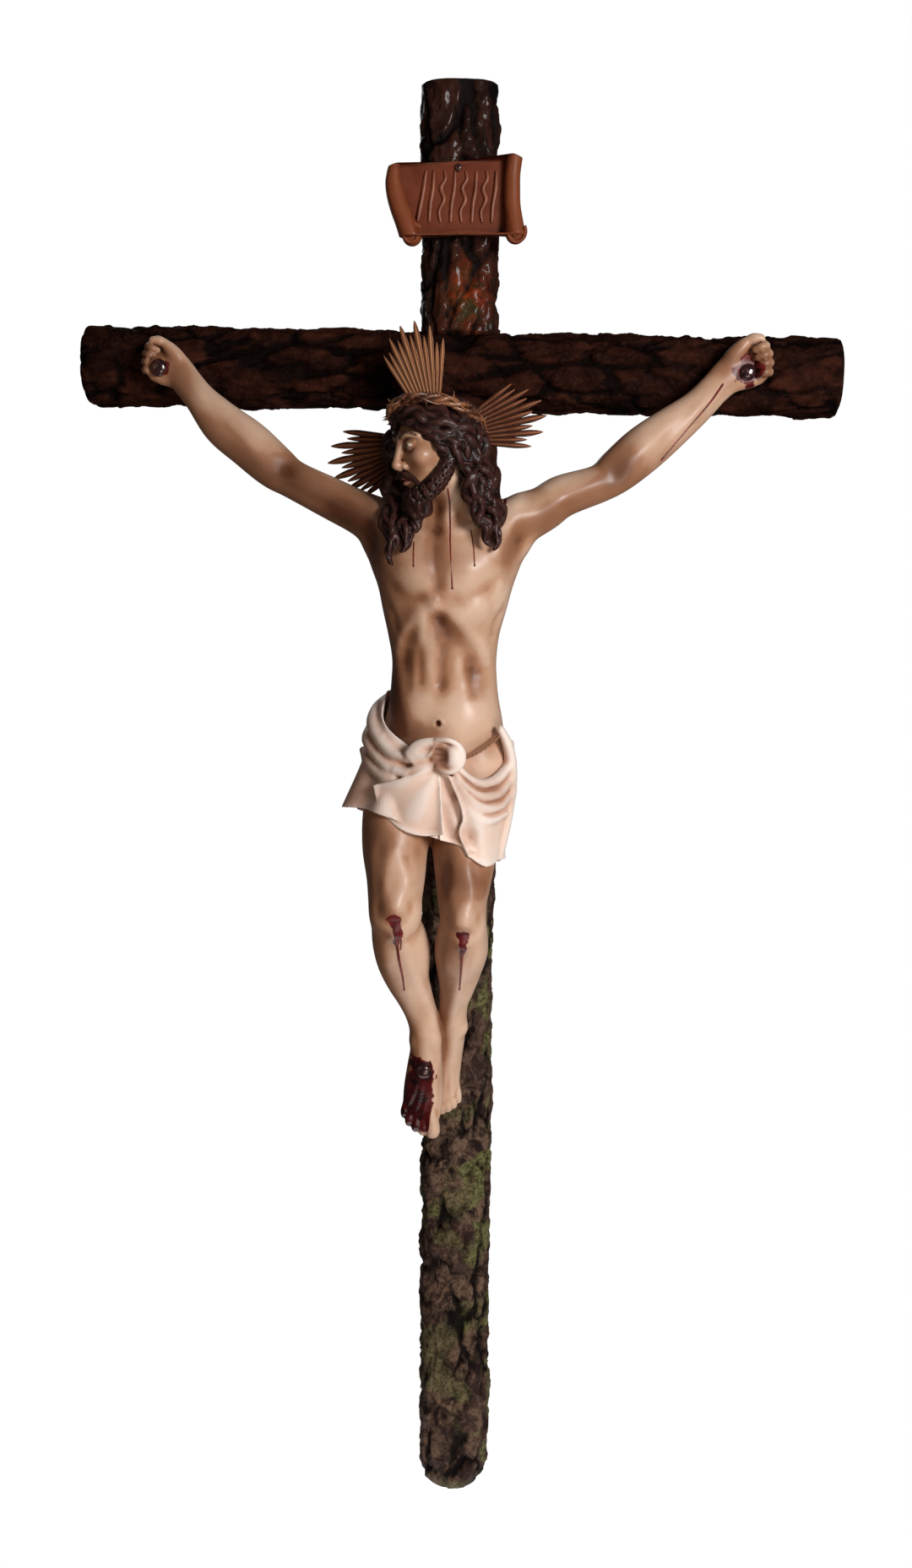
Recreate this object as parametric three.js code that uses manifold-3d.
// A wall crucifix: a carved and painted corpus nailed to a cross of two bark-covered logs.
// Millimetres, +Z up, the viewer looks along +Y. The origin is on the flat back of the upright,
// level with the middle of the beam. The corpus is drawn on a canon of modules, so its pose,
// proportions and carving are shares of its own height.
import * as THREE from 'three';
import { mergeVertices } from 'three/addons/utils/BufferGeometryUtils.js';
import Module from 'manifold-3d';

const wasm = await Module();
wasm.setup();

// Driving dimensions of the cross
const UPRIGHT_LENGTH = 1190;
const UPRIGHT_WIDTH = 62;
const UPRIGHT_BEND = 3;         // how far the upright swings to the right on its way down
const UPRIGHT_END_ROUND = 34;   // length of the bullet-shaped lower end
const TOP_ARM = 213;            // from the middle of the beam to the top of the upright
const BEAM_LENGTH = 597;
const BEAM_WIDTH = 62;
const BEAM_SHIFT = 2.5;         // how far the beam's middle lies to the right of the upright's
const BEAM_TILT = 0.5;          // degrees that its right end hangs down
const BEAM_END_ROUND = 9;
const LOG_DEPTH = 50;           // from the flat back to the bark
const BARK_RELIEF = 2.2;
const FIT_GAP = 0.3;            // between two pieces that meet

// Driving dimensions of what is fixed to the cross
const CORPUS_HEIGHT = 590;      // from the crown of the head to the toes
const CORPUS_MODULES = 590;
const NAIL_HEAD_RADIUS = 6.6;
const NAIL_HEAD_HEIGHT = 4.5;
const NAIL_SHANK_RADIUS = 2.2;
const NAIL_BITE = 20;           // how far a nail goes into the wood
const CROWN_RADIUS = 4;
const CROWN_STRANDS = 3;
const CROWN_TURNS = 6;
const TOP_RAY_REACH = 87;       // from the middle of the head to the longest tip
const SIDE_RAY_REACH = 83;
const RAY_STAGGER = 7;          // how much shorter every other ray is
const RAY_NOTCH = 8;            // how deep the notch between two tips is
const RAY_COUNT = 9;            // rays in a fan
const RAY_THICKNESS = 2.4;
const TITULUS_WIDTH = 106;
const TITULUS_MODULES = 106;
const TITULUS_THICKNESS = 4;
const TITULUS_RISE = 92;        // from the top of the beam to the middle of the scroll
const SCROLL_NAIL_RADIUS = 3;
const SCROLL_NAIL_HEIGHT = 2;

const module = CORPUS_HEIGHT / CORPUS_MODULES;
const frontOfCross = -LOG_DEPTH - FIT_GAP;

// A point of the corpus: modules to the right of the upright's middle, forward of the cross,
// and above the middle of the beam
const figurePoint = (right, forward, up) =>
  new THREE.Vector3(right * module, frontOfCross - forward * module, up * module);

const towardViewer = new THREE.Vector3(0, -1, 0);

// Closed bodies

function solidFrom(points, triangles) {
  const geometry = new THREE.BufferGeometry().setFromPoints(points);
  geometry.setIndex(triangles);
  return solidFromGeometry(geometry);
}

function solidFromGeometry(source) {
  const bare = source.index ? source.clone() : source;
  bare.deleteAttribute('normal');
  bare.deleteAttribute('uv');
  const geometry = mergeVertices(bare, 1e-4);
  const vertProperties = new Float32Array(geometry.attributes.position.array);
  const triVerts = new Uint32Array(geometry.index.array);
  const build = () => new wasm.Manifold(new wasm.Mesh({ numProp: 3, vertProperties, triVerts }));
  const solid = build();
  if (solid.volume() > 0) return solid;
  for (let i = 0; i < triVerts.length; i += 3) {
    [triVerts[i + 1], triVerts[i + 2]] = [triVerts[i + 2], triVerts[i + 1]];
  }
  return build();
}

const union = solids => solids.reduce((whole, solid) => whole.add(solid));

// The outer shell of a solid, without any pocket that its pieces close in between them
function outerShell(solid) {
  const mesh = solid.getMesh();
  const parent = Array.from({ length: mesh.numVert }, (_, i) => i);
  const find = i => {
    while (parent[i] !== i) i = parent[i] = parent[parent[i]];
    return i;
  };
  const position = i => new THREE.Vector3().fromArray(mesh.vertProperties, i * mesh.numProp);
  for (let t = 0; t < mesh.triVerts.length; t += 3) {
    for (const k of [1, 2]) parent[find(mesh.triVerts[t + k])] = find(mesh.triVerts[t]);
  }
  const volumes = new Map();
  for (let t = 0; t < mesh.triVerts.length; t += 3) {
    const [a, b, c] = [0, 1, 2].map(k => position(mesh.triVerts[t + k]));
    const root = find(mesh.triVerts[t]);
    volumes.set(root, (volumes.get(root) ?? 0) + a.dot(b.cross(c)));
  }
  const largest = [...volumes].reduce((best, entry) => (entry[1] > best[1] ? entry : best))[0];
  const kept = [];
  for (let t = 0; t < mesh.triVerts.length; t += 3) {
    if (find(mesh.triVerts[t]) === largest) kept.push(...mesh.triVerts.subarray(t, t + 3));
  }
  const points = Array.from({ length: mesh.numVert }, (_, i) => position(i));
  return { points, kept };
}

function namedMesh(name, solid, material) {
  const { points, kept } = outerShell(solid);
  const geometry = new THREE.BufferGeometry().setFromPoints(points);
  geometry.setIndex(kept);
  const mesh = new THREE.Mesh(mergeVertices(geometry, 1e-5), material);
  mesh.name = name;
  return mesh;
}

// Curves and skins

// A row of stations, each a list of numbers, read smoothly at t from 0 to 1
function along(stations, t) {
  const place = Math.min(Math.max(t, 0), 1) * (stations.length - 1);
  const i = Math.min(Math.floor(place), stations.length - 2);
  const u = place - i;
  const at = k => stations[Math.min(Math.max(k, 0), stations.length - 1)];
  return stations[i].map((_, k) => {
    const [a, b, c, d] = [at(i - 1)[k], at(i)[k], at(i + 1)[k], at(i + 2)[k]];
    return 0.5 * (2 * b + (c - a) * u + (2 * a - 5 * b + 4 * c - d) * u * u
      + (3 * b - a - 3 * c + d) * u * u * u);
  });
}

const power = (value, exponent) => Math.sign(value) * Math.abs(value) ** exponent;

// One closed skin over rings of equally many points, with a fan over each end
function skin(rings) {
  const sides = rings[0].length;
  const points = rings.flat();
  const middle = ring => ring.reduce((sum, p) => sum.add(p), new THREE.Vector3()).divideScalar(sides);
  const start = points.push(middle(rings[0])) - 1;
  const end = points.push(middle(rings.at(-1))) - 1;
  const triangles = [];
  for (let i = 0; i < sides; i++) {
    const next = (i + 1) % sides;
    triangles.push(start, next, i);
    for (let r = 0; r < rings.length - 1; r++) {
      const [low, high] = [r * sides, (r + 1) * sides];
      triangles.push(low + i, low + next, high + next, low + i, high + next, high + i);
    }
    const last = (rings.length - 1) * sides;
    triangles.push(end, last + i, last + next);
  }
  return solidFrom(points, triangles);
}

// A limb through stations [right, forward, up, half width, half depth], in modules. Its rings stand
// square to the way it runs, and both its ends are rounded off.
function limb(stations, sides, rings) {
  const tip = 0.45;
  const centre = t => figurePoint(...along(stations, t).slice(0, 3));
  const cuts = (sides > 8 ? [0, 0.35, 1] : [0, 1]).map(cut => [cut * tip / rings, cut]);
  const middle = Array.from({ length: rings - 1 }, (_, i) => [(i + 1) / rings, 1]);
  const steps = [...cuts, ...middle, ...cuts.map(([t, share]) => [1 - t, share]).reverse()];
  return skin(steps.map(([t, share]) => {
    const [, , , wide, deep] = along(stations, t);
    const tangent = centre(Math.min(t + 0.01, 1)).sub(centre(Math.max(t - 0.01, 0))).normalize();
    const side = new THREE.Vector3().crossVectors(tangent, towardViewer).normalize();
    const front = new THREE.Vector3().crossVectors(side, tangent).normalize();
    const swell = Math.max(0.3, Math.sqrt(1 - (1 - share) ** 2)) * module;
    return Array.from({ length: sides }, (_, k) => {
      const angle = k / sides * 2 * Math.PI;
      return centre(t)
        .addScaledVector(side, Math.cos(angle) * wide * swell)
        .addScaledVector(front, Math.sin(angle) * deep * swell);
    });
  }));
}

// A sheet of carved cloth: shape(s, t) is its front face, s across and t down, both 0 to 1
function sheet(shape, across, down, thickness) {
  const points = [];
  for (const back of [0, thickness]) {
    for (let j = 0; j <= down; j++) {
      for (let i = 0; i <= across; i++) {
        points.push(shape(i / across, j / down).add(new THREE.Vector3(0, back * module, 0)));
      }
    }
  }
  const layer = points.length / 2;
  const at = (i, j, back) => back * layer + j * (across + 1) + i;
  const triangles = [];
  const quad = (a, b, c, d) => triangles.push(a, b, c, a, c, d);
  for (let j = 0; j < down; j++) {
    for (let i = 0; i < across; i++) {
      quad(at(i, j, 0), at(i + 1, j, 0), at(i + 1, j + 1, 0), at(i, j + 1, 0));
      quad(at(i, j, 1), at(i, j + 1, 1), at(i + 1, j + 1, 1), at(i + 1, j, 1));
    }
    quad(at(0, j, 0), at(0, j + 1, 0), at(0, j + 1, 1), at(0, j, 1));
    quad(at(across, j + 1, 0), at(across, j, 0), at(across, j, 1), at(across, j + 1, 1));
  }
  for (let i = 0; i < across; i++) {
    quad(at(i + 1, 0, 0), at(i, 0, 0), at(i, 0, 1), at(i + 1, 0, 1));
    quad(at(i, down, 0), at(i + 1, down, 0), at(i + 1, down, 1), at(i, down, 1));
  }
  return solidFrom(points, triangles);
}

function box(width, depth, height, centre) {
  return solidFromGeometry(new THREE.BoxGeometry(width, depth, height).translate(...centre));
}

function egg(radii, centre, basis, [around, tall] = [14, 10]) {
  const geometry = new THREE.SphereGeometry(1, around, tall).scale(...radii.map(r => r * module));
  return solidFromGeometry(geometry.applyMatrix4(basis.clone().setPosition(centre)));
}

// The cross: two logs, flat at the back, halved into each other where they meet

// How far the bark falls in from the log's full size, from place to place
function barkDip(angle, place) {
  const plates = Math.sin(place / 17 + 1.7 * Math.sin(angle * 2 + place / 41))
    * Math.sin(angle * 3 + place / 29 + Math.sin(place / 13));
  return BARK_RELIEF * (0.5 - 0.5 * plates);
}

// A log, its back at y = 0, each end drawn in over its own length. `place` sets a point that is
// given across the log, in depth and along it.
function log({ width, low, high, lowRound, highRound, rings, place }) {
  const sides = 10;
  const straight = Array.from({ length: rings + 1 }, (_, i) =>
    low + lowRound + (high - highRound - low - lowRound) * i / rings);
  const cuts = [1, 0.72, 0.4];
  const stations = [...cuts.map(cut => low + lowRound * (1 - cut)), ...straight,
    ...cuts.map(cut => high - highRound * (1 - cut)).reverse()];
  return skin(stations.map(station => {
    const inward = Math.max((low + lowRound - station) / lowRound,
      (station - high + highRound) / highRound, 0);
    const full = Math.sqrt(1 - 0.93 * inward ** 2);
    return Array.from({ length: sides }, (_, k) => {
      const angle = (k + 0.5) / sides * 2 * Math.PI;
      const depth = Math.min(Math.max(0.42 - 0.58 * power(Math.sin(angle), 0.7) * full, 0), 1);
      const dip = barkDip(angle, station) * full;
      const across = power(Math.cos(angle), 0.75) * full * (width / 2 - dip);
      return place(across, -LOG_DEPTH * depth + (depth > 0.5 ? dip : 0), station);
    });
  }));
}

// The upright's middle line swings out below the beam and then runs straight down
const uprightMiddle = z =>
  UPRIGHT_BEND * Math.sin(Math.min(Math.max(-z / UPRIGHT_LENGTH / 0.55, 0), 1) * Math.PI / 2);

function crossPieces() {
  const tilt = THREE.MathUtils.degToRad(BEAM_TILT);
  const upright = log({
    width: UPRIGHT_WIDTH, low: TOP_ARM - UPRIGHT_LENGTH, high: TOP_ARM, lowRound: UPRIGHT_END_ROUND,
    highRound: 3, rings: 26,
    place: (across, y, station) => new THREE.Vector3(uprightMiddle(station) + across, y, station),
  });
  const beam = log({
    width: BEAM_WIDTH, low: -BEAM_LENGTH / 2, high: BEAM_LENGTH / 2, lowRound: BEAM_END_ROUND,
    highRound: BEAM_END_ROUND / 2, rings: 14,
    place: (across, y, station) => new THREE.Vector3(
      BEAM_SHIFT + station * Math.cos(tilt) + across * Math.sin(tilt), y,
      -station * Math.sin(tilt) + across * Math.cos(tilt)),
  });
  const lap = LOG_DEPTH / 2;
  const lean = UPRIGHT_WIDTH * Math.tan(tilt) + UPRIGHT_BEND / 4;
  const frontNotch = box(UPRIGHT_WIDTH * 2, LOG_DEPTH, BEAM_WIDTH + 2 * FIT_GAP + lean,
    [0, -lap - LOG_DEPTH / 2, 0]);
  const backNotch = box(UPRIGHT_WIDTH + 2 * FIT_GAP + lean, LOG_DEPTH, BEAM_WIDTH * 2,
    [0, LOG_DEPTH / 2 - lap - FIT_GAP, 0]);
  return { upright: upright.subtract(frontNotch), beam: beam.subtract(backNotch) };
}

// The corpus

// Horizontal rings of the trunk: up, middle, half width, back, front
const TRUNK = [
  [-84, -7, 15, 40, 72], [-96, -5, 27, 14, 70], [-108, -6, 43, 6, 74], [-120, -7, 55, 3, 80],
  [-134, -7.5, 62, 2, 86], [-148, -8.5, 57, 1, 89], [-165, -8.5, 51, 2, 89], [-182, -9, 47, 4, 87],
  [-201, -9.5, 42.5, 8, 81], [-220, -9, 40, 12, 75], [-236, -9, 40.5, 13, 74], [-250, -9, 42, 11, 77],
  [-266, -9.5, 45.5, 7, 80], [-282, -10.5, 48.5, 3, 82], [-300, -12, 50, 1, 83], [-320, -14, 48, 3, 82],
  [-340, -16, 40, 10, 76], [-354, -17, 22, 24, 62],
];
const NECK = [
  [1, 46, -118, 20, 18], [-1, 56, -104, 17.5, 16], [-5, 64, -92, 16.5, 16], [-11, 71, -80, 16, 17],
];

// Limbs: right, forward, up, half width, half depth. An arm ends in the palm and a leg in the foot.
const ARM_AT_LEFT = [
  [-36, 46, -122, 17, 22], [-56, 45, -118, 18, 22], [-76, 42, -109, 16, 18], [-95, 39, -100, 15.3, 15],
  [-124, 34, -86, 14.2, 14], [-139, 32, -76, 16.6, 15], [-158, 28, -60, 17.6, 15], [-178, 24, -45, 16.4, 13],
  [-195, 18, -27, 12.6, 10.5], [-206, 12.5, -13, 12, 8.6], [-215, 9, -4, 13.6, 8], [-225, 7.6, 0, 14.4, 7.6],
  [-235, 7, 3, 13, 6.6],
];
const ARM_AT_RIGHT = [
  [24, 46, -120, 17, 22], [44, 45, -116, 18, 22], [64, 42, -107, 16.6, 18], [79, 39, -97, 15.6, 15],
  [108, 34, -87, 14, 14], [122, 33, -77, 16.4, 15], [140, 29, -62, 17.5, 15], [158, 24, -48, 16, 13],
  [181, 18, -30, 12.8, 10.5], [196, 12.5, -15, 12, 8.6], [208, 9, -4, 13.6, 8], [220, 7.6, 1, 14.4, 7.6],
  [231, 7, 4, 13, 6.6],
];
const LEG_AT_LEFT = [
  [-34, 43, -300, 30, 36], [-43, 49, -335, 28, 33], [-46, 60, -362, 25.5, 30], [-46, 71, -384, 21.5, 26],
  [-47, 79, -400, 18.2, 22], [-47, 82, -411, 17.2, 20], [-45, 75, -422, 18.8, 20], [-42, 65, -438, 21.5, 22],
  [-40, 56, -455, 20.8, 21], [-37, 50, -472, 17.5, 18], [-31, 44, -490, 14.4, 15],
  [-26, 40, -506, 12.6, 13.5], [-22.5, 37, -522, 12.4, 13.5], [-22, 35, -538, 12.8, 13.5],
  [-23, 33, -554, 14.4, 12], [-24, 30, -571, 16, 9.6], [-24.5, 27, -586, 16.6, 7.6],
  [-25, 26, -599, 15, 6],
];
const LEG_AT_RIGHT = [
  [14, 43, -300, 30, 36], [9, 49, -338, 28, 33], [8, 58, -366, 25, 30], [7, 67, -388, 21.5, 26],
  [6.5, 76, -403, 18.8, 22], [7, 80, -418, 17.8, 20], [6.5, 74, -430, 19.5, 20], [6, 64, -445, 20.6, 21],
  [4.5, 54, -462, 18, 19], [3, 46, -480, 14.2, 16], [0.5, 38, -497, 11.6, 13], [0, 30, -517, 10.6, 12],
  [-1, 21, -535, 10.4, 12], [-4, 13, -554, 11.5, 11], [-6, 8.6, -572, 12, 8.4], [-7, 7, -586, 11.6, 6.8],
  [-7, 6, -597, 10.4, 5.6],
];
const TOES_IN_FRONT = [
  [-16.5, -618, 6], [-24, -616, 4.4], [-30, -613, 4.1], [-35.5, -608, 3.8], [-39.5, -601, 3.3],
];
const TOES_BEHIND = [
  [-15, -605, 5.2], [-9, -606, 3.8], [-4, -604, 3.6], [0.5, -601, 3.4], [4.6, -596, 3],
];

const NAIL_AT_LEFT_HAND = [-227.5, -3];
const NAIL_AT_RIGHT_HAND = [220, -3];
const NAIL_AT_FEET = [-23.5, -553];
const PALM_FORWARD = 14.6;      // from the wood to the face of the palm
const INSTEP_FORWARD = 44;      // from the wood to the instep of the foot in front

function trunk() {
  return skin(Array.from({ length: 18 }, (_, i) => {
    const [up, middle, half, back, front] = along(TRUNK, i / 17);
    const centre = (back + front) / 2;
    const deep = (front - back) / 2;
    return Array.from({ length: 18 }, (_, k) => {
      const angle = k / 18 * 2 * Math.PI;
      return figurePoint(middle + power(Math.cos(angle), 0.88) * half,
        centre + power(Math.sin(angle), 0.88) * deep, up);
    });
  }));
}

// Fingers curled over the palm, and the thumb beside them. `reach` points along the hand and `thumb`
// to the thumb's side.
function fingers([right, up], reach, thumb) {
  const place = (a, b, forward, half) =>
    [right + reach[0] * a + thumb[0] * b, forward, up + reach[1] * a + thumb[1] * b, half, half];
  const curled = [-8.5, -2.2, 4.2, 10.4].map((b, i) => {
    const long = [0.86, 1, 1.06, 1][i];
    return limb([place(6, b, 7, 3.3), place(13 * long, b * 1.04, 9, 3.5),
      place(15.5 * long, b * 1.02, 15, 3.4), place(11.5 * long, b * 0.98, 20, 3.1),
      place(7 * long, b * 0.94, 19, 2.6)], 5, 4);
  });
  const thumbLimb = limb([place(-13, 9, 9, 6), place(-5, 15, 11, 5.4), place(3, 19, 12, 4.4),
    place(10, 19, 14, 3.6)], 6, 3);
  return [...curled, thumbLimb];
}

// Toes in front of a foot: right, up, radius
function toes(row, middle, forward) {
  return row.map(([right, up, radius]) => limb([
    [right + (middle - right) * 0.25, forward + 2, up + 24, radius, radius],
    [right, forward + 1, up + 12, radius, radius * 1.1],
    [right, forward, up + radius * 0.6, radius * 0.95, radius * 0.9]], 5, 2));
}

// The head, turned well to the left, a little down and leaning back. Its own axes: `side` toward the
// ear that is seen, `face` out of the brow, `top` out of the skull.
const HEAD_CENTRE = [-14, 76, -60];
const HEAD_TURN = THREE.MathUtils.degToRad(62);
const HEAD_BOW = THREE.MathUtils.degToRad(6);
const HEAD_LEAN = THREE.MathUtils.degToRad(7);
const headBasis = new THREE.Matrix4().makeRotationZ(-HEAD_TURN)
  .multiply(new THREE.Matrix4().makeRotationX(HEAD_BOW))
  .multiply(new THREE.Matrix4().makeRotationY(-HEAD_LEAN));
const headPoint = (side, face, top) =>
  new THREE.Vector3(side, -face, top).multiplyScalar(module).applyMatrix4(headBasis)
    .add(figurePoint(...HEAD_CENTRE));

function headEgg(radii, side, face, top, detail) {
  return egg(radii, headPoint(side, face, top), headBasis, detail);
}

// A limb whose stations are in the head's own axes
function headLimb(stations, sides, rings) {
  return limb(stations.map(([side, face, top, wide, deep]) => {
    const p = headPoint(side, face, top);
    return [p.x / module, (frontOfCross - p.y) / module, p.z / module, wide, deep];
  }), sides, rings);
}

function face() {
  const plane = headEgg([20.5, 21, 32], 0, 11, -8, [12, 9]);
  const nose = headLimb([[0, 29, 4, 2.6, 3], [0, 32.5, -4, 3, 3.6], [0, 36.5, -12, 4.2, 4.4],
    [0, 33, -16, 4.6, 3]], 5, 3);
  const brow = headLimb([[-17, 21, 5, 2.6, 2.4], [-9, 29.5, 6.5, 3, 2.6], [0, 30.5, 4.5, 2.6, 2.4],
    [9, 29.5, 6.5, 3, 2.6], [17, 21, 5, 2.6, 2.4]], 5, 6);
  const eyes = [-1, 1].map(sign => headEgg([5, 4.4, 3.6], sign * 9, 25.5, 0, [8, 5]));
  return [plane, nose, brow, ...eyes];
}

// Hair swept back from the brow, in the head's own axes: side, face, top, half width, half depth
const SWEPT_HAIR = [
  [[1, 25, 20, 5, 5], [12, 23, 15, 6, 6], [19, 16, 8, 6.5, 6.5], [23, 6, 0, 7, 7], [25, -4, -12, 7, 8],
    [24, -12, -26, 7, 7]],
  [[3, 17, 26, 6, 6], [16, 12, 20, 7, 7], [23, 2, 11, 7, 8], [26, -9, -2, 8, 8], [26, -16, -18, 8, 9]],
  [[-19, 18, 21, 4, 5], [-11, 25, 23, 5, 6], [0, 28, 24, 5, 6], [11, 25, 23, 5, 6], [19, 18, 21, 4, 5]],
  [[-1, 25, 20, 5, 5], [-12, 23, 15, 6, 6], [-20, 16, 8, 6.5, 6.5], [-24, 6, 0, 7, 7], [-25, -2, -12, 7, 8]],
];

// Locks that fall on the shoulders and the chest: right, forward, up, half width, half depth
const FALLING_HAIR = [
  [[6, 86, -60, 8, 9], [16, 84, -82, 8.5, 9], [25, 82, -104, 8, 8], [30, 84, -119, 6, 6],
    [30, 88, -132, 2.4, 3]],
  [[10, 92, -84, 5.5, 6], [14, 91, -99, 6, 6], [16, 93, -114, 5, 5], [24, 94, -129, 2.4, 3]],
  [[14, 68, -62, 8, 10], [23, 68, -84, 8.5, 9], [30, 68, -102, 7.5, 8], [34, 72, -115, 5.5, 6],
    [32, 80, -128, 2.4, 3]],
  [[6, 56, -66, 12, 10], [12, 54, -88, 13, 10], [18, 58, -106, 9, 8], [25, 68, -122, 4, 5]],
  [[-43, 62, -46, 11, 10], [-49, 60, -64, 11.5, 10], [-50, 62, -84, 11, 10], [-50, 68, -101, 9, 9],
    [-50, 78, -116, 7, 7], [-48, 86, -130, 5, 5], [-44, 90, -142, 2.4, 3]],
  [[-34, 66, -84, 8, 9], [-36, 72, -100, 9, 9], [-37, 77, -112, 7, 7], [-38, 85, -122, 5, 5],
    [-38, 90, -134, 2.4, 3]],
];

// The beard in the head's own axes: curls round the jaw, a tuft at the chin and a moustache
const BEARD = [
  [[20, 2, -12, 4, 5], [19, 9, -24, 5.5, 6], [13, 18, -34, 6.5, 7], [0, 27, -41, 8, 8],
    [-13, 18, -34, 6.5, 7], [-19, 9, -24, 5.5, 6], [-20, 2, -12, 4, 5]],
  [[8, 22, -34, 6, 6], [6, 27, -43, 5.5, 5.5], [4, 27, -51, 3, 3]],
  [[-8, 22, -34, 6, 6], [-6, 27, -43, 5.5, 5.5], [-4, 27, -51, 3, 3]],
  [[12, 26, -27, 2, 2], [6, 32, -20, 3, 2.8], [0, 34, -18, 2.6, 2.6], [-6, 32, -20, 3, 2.8],
    [-12, 26, -27, 2, 2]],
];

function hair() {
  const cap = headEgg([26, 31, 25], 0, -4, 7, [12, 8]);
  const nape = egg([25, 21, 27], figurePoint(-9, 50, -63), new THREE.Matrix4(), [10, 7]);
  const swept = SWEPT_HAIR.map(lock => headLimb(lock, 5, 5));
  const falling = FALLING_HAIR.map(lock => limb(lock, 5, 4));
  const beard = BEARD.map(curl => headLimb(curl, 5, 4));
  return [cap, nape, ...swept, ...falling, ...beard];
}

// The loincloth: eight directions round the hips, clockwise seen from above, from the front:
// angle, top edge, hem, how far the top and the hem stand out sideways or forward
const WRAP = [
  [0, -286, -352, 46, 50], [45, -282, -366, 46, 50], [90, -265, -376, 50, 52], [135, -252, -362, 43, 46],
  [180, -248, -352, 41, 42], [225, -247, -346, 43, 54], [270, -249, -338, 43, 72], [315, -272, -336, 47, 56],
];
const WRAP_CENTRE = [-13, 42];

function wrap() {
  const columns = 30;
  const rows = 5;
  const station = share => {
    const place = share * WRAP.length;
    const i = Math.floor(place);
    const at = k => WRAP[(i + k + WRAP.length) % WRAP.length];
    return along([at(-1), at(0), at(1), at(2)], (1 + place - i) / 3).slice(1);
  };
  return skin(Array.from({ length: rows + 1 }, (_, j) => {
    const down = j / rows;
    return Array.from({ length: columns }, (_, k) => {
      const angle = k / columns * 2 * Math.PI;
      const [top, hem, near, far] = station(k / columns);
      const fold = 2.2 * down * Math.sin(angle * 9 + 1.5 * down) + 1.4 * Math.sin(angle * 5 - 3 * down);
      const reach = near + (far - near) * down + fold;
      const forward = Math.max(WRAP_CENTRE[1] + Math.cos(angle) * reach * 0.88, 1);
      return figurePoint(WRAP_CENTRE[0] + Math.sin(angle) * reach, forward, top + (hem - top) * down);
    });
  }));
}

// A flap that fans out from the knot between two headings, measured from straight down
function fan({ apex, headings, radii, lift, pleats, depth }) {
  return sheet((s, t) => {
    const heading = THREE.MathUtils.degToRad(headings[0] + (headings[1] - headings[0]) * s);
    const radius = (radii[0] + (radii[1] - radii[0]) * s + radii[2] * Math.sin(s * Math.PI)) * t;
    const wave = Math.cos(s * pleats * 2 * Math.PI) * depth * t;
    return figurePoint(apex[0] + Math.sin(heading) * radius, apex[1] + lift * t + wave,
      apex[2] - Math.cos(heading) * radius);
  }, 8, 3, 3);
}

// Rolled folds and the belt: right, forward, up, half width, half depth
const FOLDS = [
  [[2, 92, -296, 3, 3], [12, 92, -306, 3.6, 4], [27, 83, -309, 3.8, 4], [40, 66, -300, 4, 5],
    [42, 44, -288, 3, 4]],
  [[2, 92, -303, 3, 3], [14, 92, -315, 3.8, 4], [29, 83, -318, 3.8, 4], [42, 64, -309, 4, 5],
    [44, 42, -300, 3, 4]],
  [[2, 91, -312, 3, 3], [16, 91, -326, 3.6, 4], [31, 82, -329, 3.6, 4], [42, 62, -322, 3, 4]],
  [[-12, 93, -284, 4, 4], [-24, 92, -283, 6.4, 4], [-34, 88, -284, 5.4, 4], [-47, 79, -281, 5, 5],
    [-58, 63, -273, 6, 6], [-64, 44, -266, 5, 6]],
  [[-12, 92, -292, 4, 4], [-26, 91, -294, 5, 4], [-42, 84, -291, 4.6, 4], [-56, 72, -284, 4, 4],
    [-64, 54, -276, 4, 4]],
  [[-9, 92, -296, 3.4, 4], [-8, 96, -316, 3.6, 5], [-6, 97, -336, 4, 5], [-3, 95, -354, 4, 4]],
];
const BELT = [
  [4, 90, -289, 1.8, 1.8], [22, 83, -284, 1.8, 1.8], [35, 70, -274, 1.8, 1.8], [40, 52, -265, 1.8, 1.8],
];

function loincloth() {
  const leftFlap = fan({
    apex: [-11, 92, -292], headings: [-69, 3], radii: [54, 54, 5], lift: 5, pleats: 1.5, depth: 1.6,
  });
  const rightFlap = fan({
    apex: [-4, 92, -294], headings: [2, 30], radii: [66, 82, 4], lift: -3, pleats: 1, depth: 3,
  });
  const sideFlare = sheet((s, t) =>
    figurePoint(-62 - 26 * t * (1 - s * 0.5), 62 - 42 * s, -276 - 62 * t - 4 * s * t), 4, 4, 3);
  const knot = egg([12, 8.5, 12], figurePoint(-5, 94, -286), new THREE.Matrix4(), [10, 6]);
  const folds = FOLDS.map(fold => limb(fold, 4, 4));
  return [wrap(), leftFlap, rightFlap, sideFlare, knot, ...folds, limb(BELT, 4, 3)];
}

function corpus() {
  return union([
    trunk(),
    limb(NECK, 10, 3),
    limb(ARM_AT_LEFT, 10, 13),
    limb(ARM_AT_RIGHT, 10, 13),
    limb(LEG_AT_LEFT, 10, 17),
    limb(LEG_AT_RIGHT, 10, 16),
    ...fingers([-225, 1], [-0.96, 0.28], [0.28, 0.96]),
    ...fingers([221, 2], [0.96, 0.28], [-0.28, 0.96]),
    ...toes(TOES_BEHIND, -5, 6),
    ...toes(TOES_IN_FRONT, -25, 26),
    ...face(),
    ...hair(),
    ...loincloth(),
  ]);
}

// Crown, rays, scroll and nails

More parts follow.
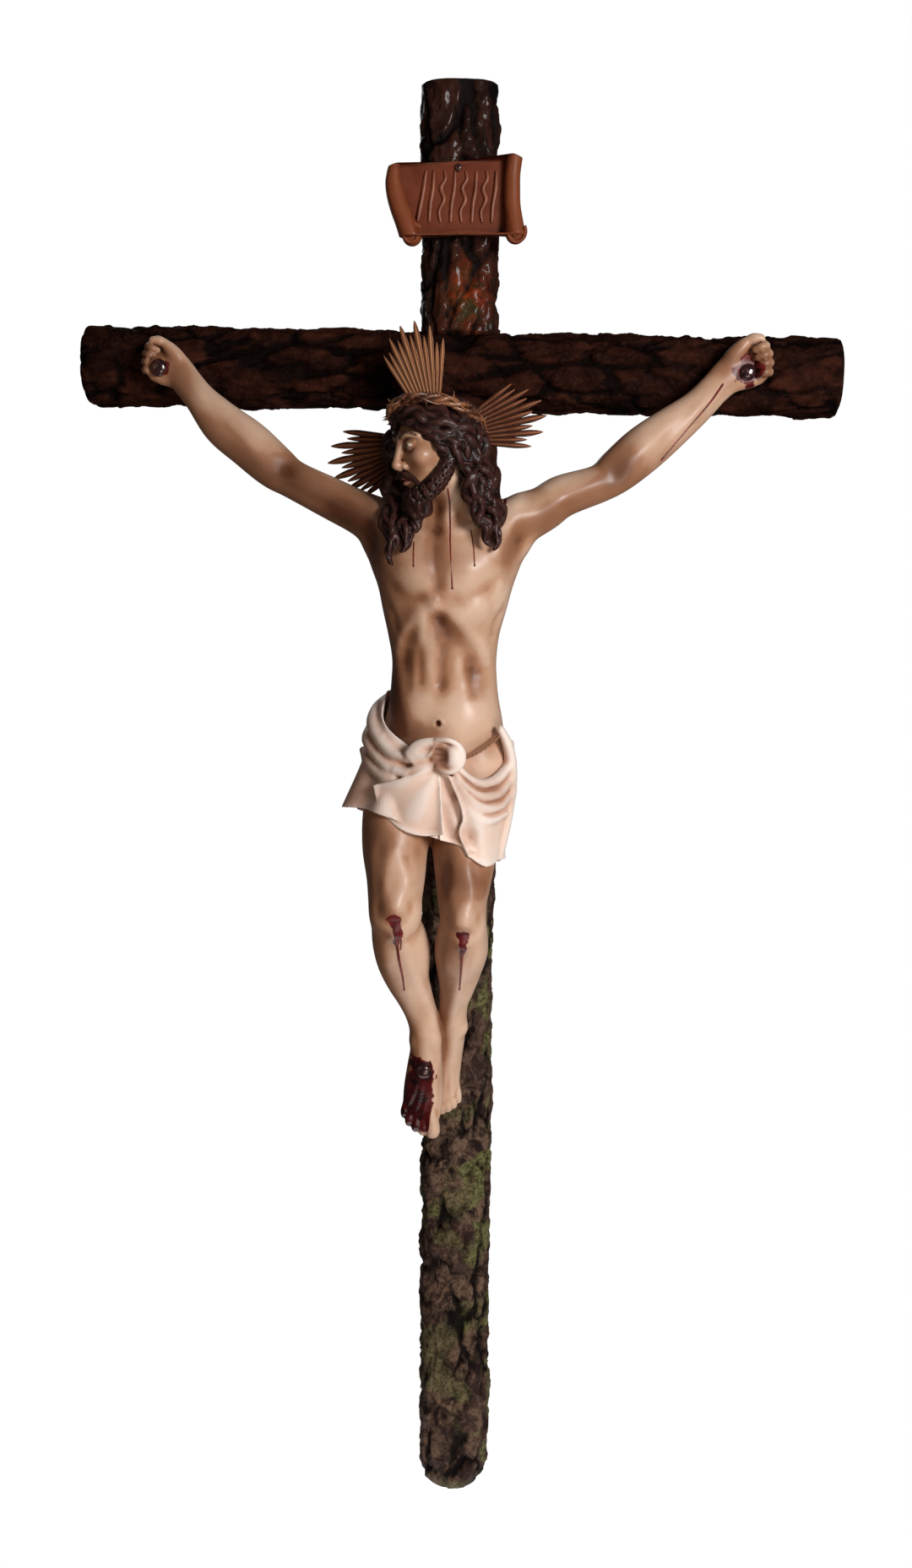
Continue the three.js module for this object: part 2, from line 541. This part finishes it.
// A ring of thorn twigs twisted together, on the hair just above the brow
const CROWN_PLACE = [0, -1, 15];
const CROWN_RADII = [28, 33];
const CROWN_LIFTS = [8, 12];    // how far its near side and its front are pushed up
const crownLine = turn => headPoint(CROWN_PLACE[0] + CROWN_RADII[0] * Math.sin(turn),
  CROWN_PLACE[1] + CROWN_RADII[1] * Math.cos(turn),
  CROWN_PLACE[2] + CROWN_LIFTS[0] * Math.sin(turn) + CROWN_LIFTS[1] * Math.cos(turn));

// A closed rope on the crown's line: `strands` lobes twisted together
function crownRope(radius, strands, turns, sides, steps) {
  const points = [];
  const triangles = [];
  const rise = new THREE.Vector3(0, 0, 1).applyMatrix4(headBasis);
  for (let i = 0; i < steps; i++) {
    const turn = i / steps * 2 * Math.PI;
    const centre = crownLine(turn);
    const out = centre.clone().sub(headPoint(...CROWN_PLACE)).normalize();
    for (let k = 0; k < sides; k++) {
      const angle = k / sides * 2 * Math.PI;
      const lobe = strands ? 0.8 + 0.2 * Math.cos(angle * strands) : 1;
      const place = angle + turn * turns;
      points.push(centre.clone().addScaledVector(out, radius * lobe * Math.cos(place))
        .addScaledVector(rise, radius * lobe * Math.sin(place)));
      const [a, b] = [i * sides, (i + 1) % steps * sides];
      const next = (k + 1) % sides;
      triangles.push(a + k, a + next, b + next, a + k, b + next, b + k);
    }
  }
  return solidFrom(points, triangles);
}

const crown = () => crownRope(CROWN_RADIUS, CROWN_STRANDS, CROWN_TURNS, 2 * CROWN_STRANDS, 54);
const crownChannel = () => crownRope(CROWN_RADIUS + FIT_GAP * 2, 0, 0, 8, 24);

// Three fans of fluted rays stand out round the head, all in one upright plane. Headings are in
// degrees, from level to the right through straight up, and `inner` is how deep a fan is set.
const RAY_CENTRE = [-15.5, 36, -56.5];
const RAY_FANS = {
  top: { from: 85, to: 125, inner: 13, reach: TOP_RAY_REACH },
  right: { from: -5, to: 39, inner: 12, reach: SIDE_RAY_REACH },
  left: { from: 173, to: 219, inner: 14, reach: SIDE_RAY_REACH },
};

const rayPoint = (heading, radius, forward) => {
  const angle = THREE.MathUtils.degToRad(heading);
  return figurePoint(...RAY_CENTRE)
    .add(new THREE.Vector3(Math.cos(angle) * radius, -forward, Math.sin(angle) * radius));
};

// A slice of the fan at one heading, `thick` through and reaching out to `outer`
const raySlice = (heading, inner, outer, thick) => [
  rayPoint(heading, inner, thick / 2), rayPoint(heading, outer, thick / 2),
  rayPoint(heading, outer, -thick / 2), rayPoint(heading, inner, -thick / 2),
];

function rayFan({ from, to, inner, reach }) {
  const slices = 2 * RAY_COUNT;
  return skin(Array.from({ length: slices + 1 }, (_, i) => {
    const share = i / slices;
    const crest = i % 2;
    const outer = reach * (1 - 0.7 * (share - 0.5) ** 2) - (i % 4 === 3 ? RAY_STAGGER : 0)
      - (crest ? 0 : RAY_NOTCH);
    return raySlice(from + (to - from) * share, inner * module, outer, RAY_THICKNESS * (crest ? 1 : 0.4));
  }));
}

// The slot that a fan stands in, with its clearance
function raySlot({ from, to, inner, reach }) {
  const clear = THREE.MathUtils.radToDeg(FIT_GAP / (inner * module)) + 0.3;
  return skin([0, 0.5, 1].map(share => raySlice(from - clear + (to - from + 2 * clear) * share,
    inner * module - FIT_GAP, reach + RAY_THICKNESS, RAY_THICKNESS + 2 * FIT_GAP)));
}

// The scroll: a curved plate, rolled forward at both ends. Its points are modules to the right of
// the upright's middle, forward of the cross and above the scroll's own middle.
const scrollModule = TITULUS_WIDTH / TITULUS_MODULES;
const scrollMiddle = BEAM_WIDTH / 2 + TITULUS_RISE;
const scrollPoint = (right, forward, up) =>
  new THREE.Vector3(right * scrollModule, frontOfCross - forward * scrollModule,
    scrollMiddle + up * scrollModule);

// The plate's upper and lower edges: right and up, and how far both stand forward
const SCROLL_EDGES = [
  [-49, 23.5, -35, -26, 4], [-36, 24, -28, -26, 1.5], [-20, 23.5, -16, -25.5, 0], [-2, 23, 0, -24.5, 0],
  [16, 25, 14, -23.5, 0], [30, 27.5, 28, -23.5, 1], [40, 29.5, 38, -24, 3],
];
// Each roll's middle line from the top down: right, forward, up, radius
const SCROLL_ROLLS = [
  [[-48.5, 8, 22, 4.5], [-49, 9, 8, 6], [-43.5, 10, -12, 8], [-35.5, 11, -29, 8.5]],
  [[40, 8, 29, 6], [39, 8, 14, 5.6], [39, 8, -6, 5.8], [41.5, 9.5, -27, 8]],
];

function titulus() {
  const thickness = TITULUS_THICKNESS / scrollModule;
  const plate = skin(SCROLL_EDGES.map(([topRight, top, lowRight, low, forward]) => [
    scrollPoint(topRight, forward, top), scrollPoint(topRight, forward + thickness, top),
    scrollPoint(lowRight, forward + thickness, low), scrollPoint(lowRight, forward, low)]));
  const rolls = SCROLL_ROLLS.map(line => skin(line.map(([right, forward, up, radius]) =>
    Array.from({ length: 10 }, (_, k) => {
      const angle = k / 10 * 2 * Math.PI;
      return scrollPoint(right + radius * Math.cos(angle), forward + radius * Math.sin(angle), up);
    }))));
  return union([plate, ...rolls]);
}

// A nail driven along +Y. The middle of its head's underside is at the origin.
function nail(headRadius, headHeight, shankRadius, length) {
  const profile = Array.from({ length: 5 }, (_, i) => {
    const angle = i / 4 * Math.PI / 2;
    return new THREE.Vector2(i < 4 ? headRadius * Math.cos(angle) : 0, headHeight * Math.sin(angle));
  });
  const dome = new THREE.LatheGeometry([new THREE.Vector2(0, 0), ...profile], 12).rotateX(Math.PI);
  const sunk = headHeight / 4;
  const shank = new THREE.CylinderGeometry(shankRadius, shankRadius, length + sunk, 8)
    .translate(0, (length - sunk) / 2, 0);
  return solidFromGeometry(dome).add(solidFromGeometry(shank));
}

// The room that a nail at `seat` needs: a hole for its shank and space in front of it for its head
function nailRoom(seat, headRadius, headHeight, shankRadius, length) {
  const deep = length + FIT_GAP;
  const hole = new THREE.CylinderGeometry(shankRadius + FIT_GAP, shankRadius + FIT_GAP, deep, 8)
    .translate(seat.x, seat.y + deep / 2, seat.z);
  const tall = headHeight * 6;
  const front = new THREE.CylinderGeometry(headRadius + FIT_GAP, headRadius + FIT_GAP, tall, 12)
    .translate(seat.x, seat.y + FIT_GAP - tall / 2, seat.z);
  return solidFromGeometry(hole).add(solidFromGeometry(front));
}

const paint = {
  bark: new THREE.MeshStandardMaterial({ color: 0x3a231a, roughness: 0.5, metalness: 0 }),
  flesh: new THREE.MeshStandardMaterial({ color: 0xb98f74, roughness: 0.4, metalness: 0 }),
  thorn: new THREE.MeshStandardMaterial({ color: 0x6d3f22, roughness: 0.45, metalness: 0.3 }),
  brass: new THREE.MeshStandardMaterial({ color: 0x9a5f34, roughness: 0.35, metalness: 0.9 }),
  scroll: new THREE.MeshStandardMaterial({ color: 0x85442a, roughness: 0.55, metalness: 0 }),
  iron: new THREE.MeshStandardMaterial({ color: 0x241718, roughness: 0.25, metalness: 0.6 }),
};

function crucifix() {
  const pieces = new Map();
  let { upright, beam } = crossPieces();
  let figure = corpus().subtract(crownChannel());
  let scroll = titulus();

  for (const [side, fan] of Object.entries(RAY_FANS)) {
    figure = figure.subtract(raySlot(fan));
    pieces.set(`halo_rays_${side}`, [rayFan(fan), paint.brass]);
  }

  const nailSeats = {
    nail_left_hand: figurePoint(NAIL_AT_LEFT_HAND[0], PALM_FORWARD, NAIL_AT_LEFT_HAND[1]),
    nail_right_hand: figurePoint(NAIL_AT_RIGHT_HAND[0], PALM_FORWARD, NAIL_AT_RIGHT_HAND[1]),
    nail_feet: figurePoint(NAIL_AT_FEET[0], INSTEP_FORWARD, NAIL_AT_FEET[1]),
  };
  for (const [name, seat] of Object.entries(nailSeats)) {
    const length = -seat.y - LOG_DEPTH + NAIL_BITE;
    const size = [NAIL_HEAD_RADIUS, NAIL_HEAD_HEIGHT, NAIL_SHANK_RADIUS, length];
    const room = nailRoom(seat, ...size);
    figure = figure.subtract(room);
    if (name === 'nail_feet') upright = upright.subtract(room);
    else beam = beam.subtract(room);
    pieces.set(name, [nail(...size), paint.iron, seat]);
  }

  const scrollSeat = scrollPoint(-1, TITULUS_THICKNESS / scrollModule, 20);
  const scrollNail = [SCROLL_NAIL_RADIUS, SCROLL_NAIL_HEIGHT, SCROLL_NAIL_RADIUS / 2, NAIL_BITE];
  const scrollRoom = nailRoom(scrollSeat, ...scrollNail);
  upright = upright.subtract(scrollRoom);
  scroll = scroll.subtract(scrollRoom);
  pieces.set('titulus_nail', [nail(...scrollNail), paint.iron, scrollSeat]);

  pieces.set('cross_upright', [upright, paint.bark]);
  pieces.set('cross_beam', [beam, paint.bark]);
  pieces.set('corpus', [figure, paint.flesh]);
  pieces.set('crown_of_thorns', [crown(), paint.thorn]);
  pieces.set('titulus_scroll', [scroll, paint.scroll]);

  const group = new THREE.Group();
  for (const [name, [solid, material, position]] of pieces) {
    const mesh = namedMesh(name, solid, material);
    if (position) mesh.position.copy(position);
    group.add(mesh);
  }
  return group;
}

export default crucifix();
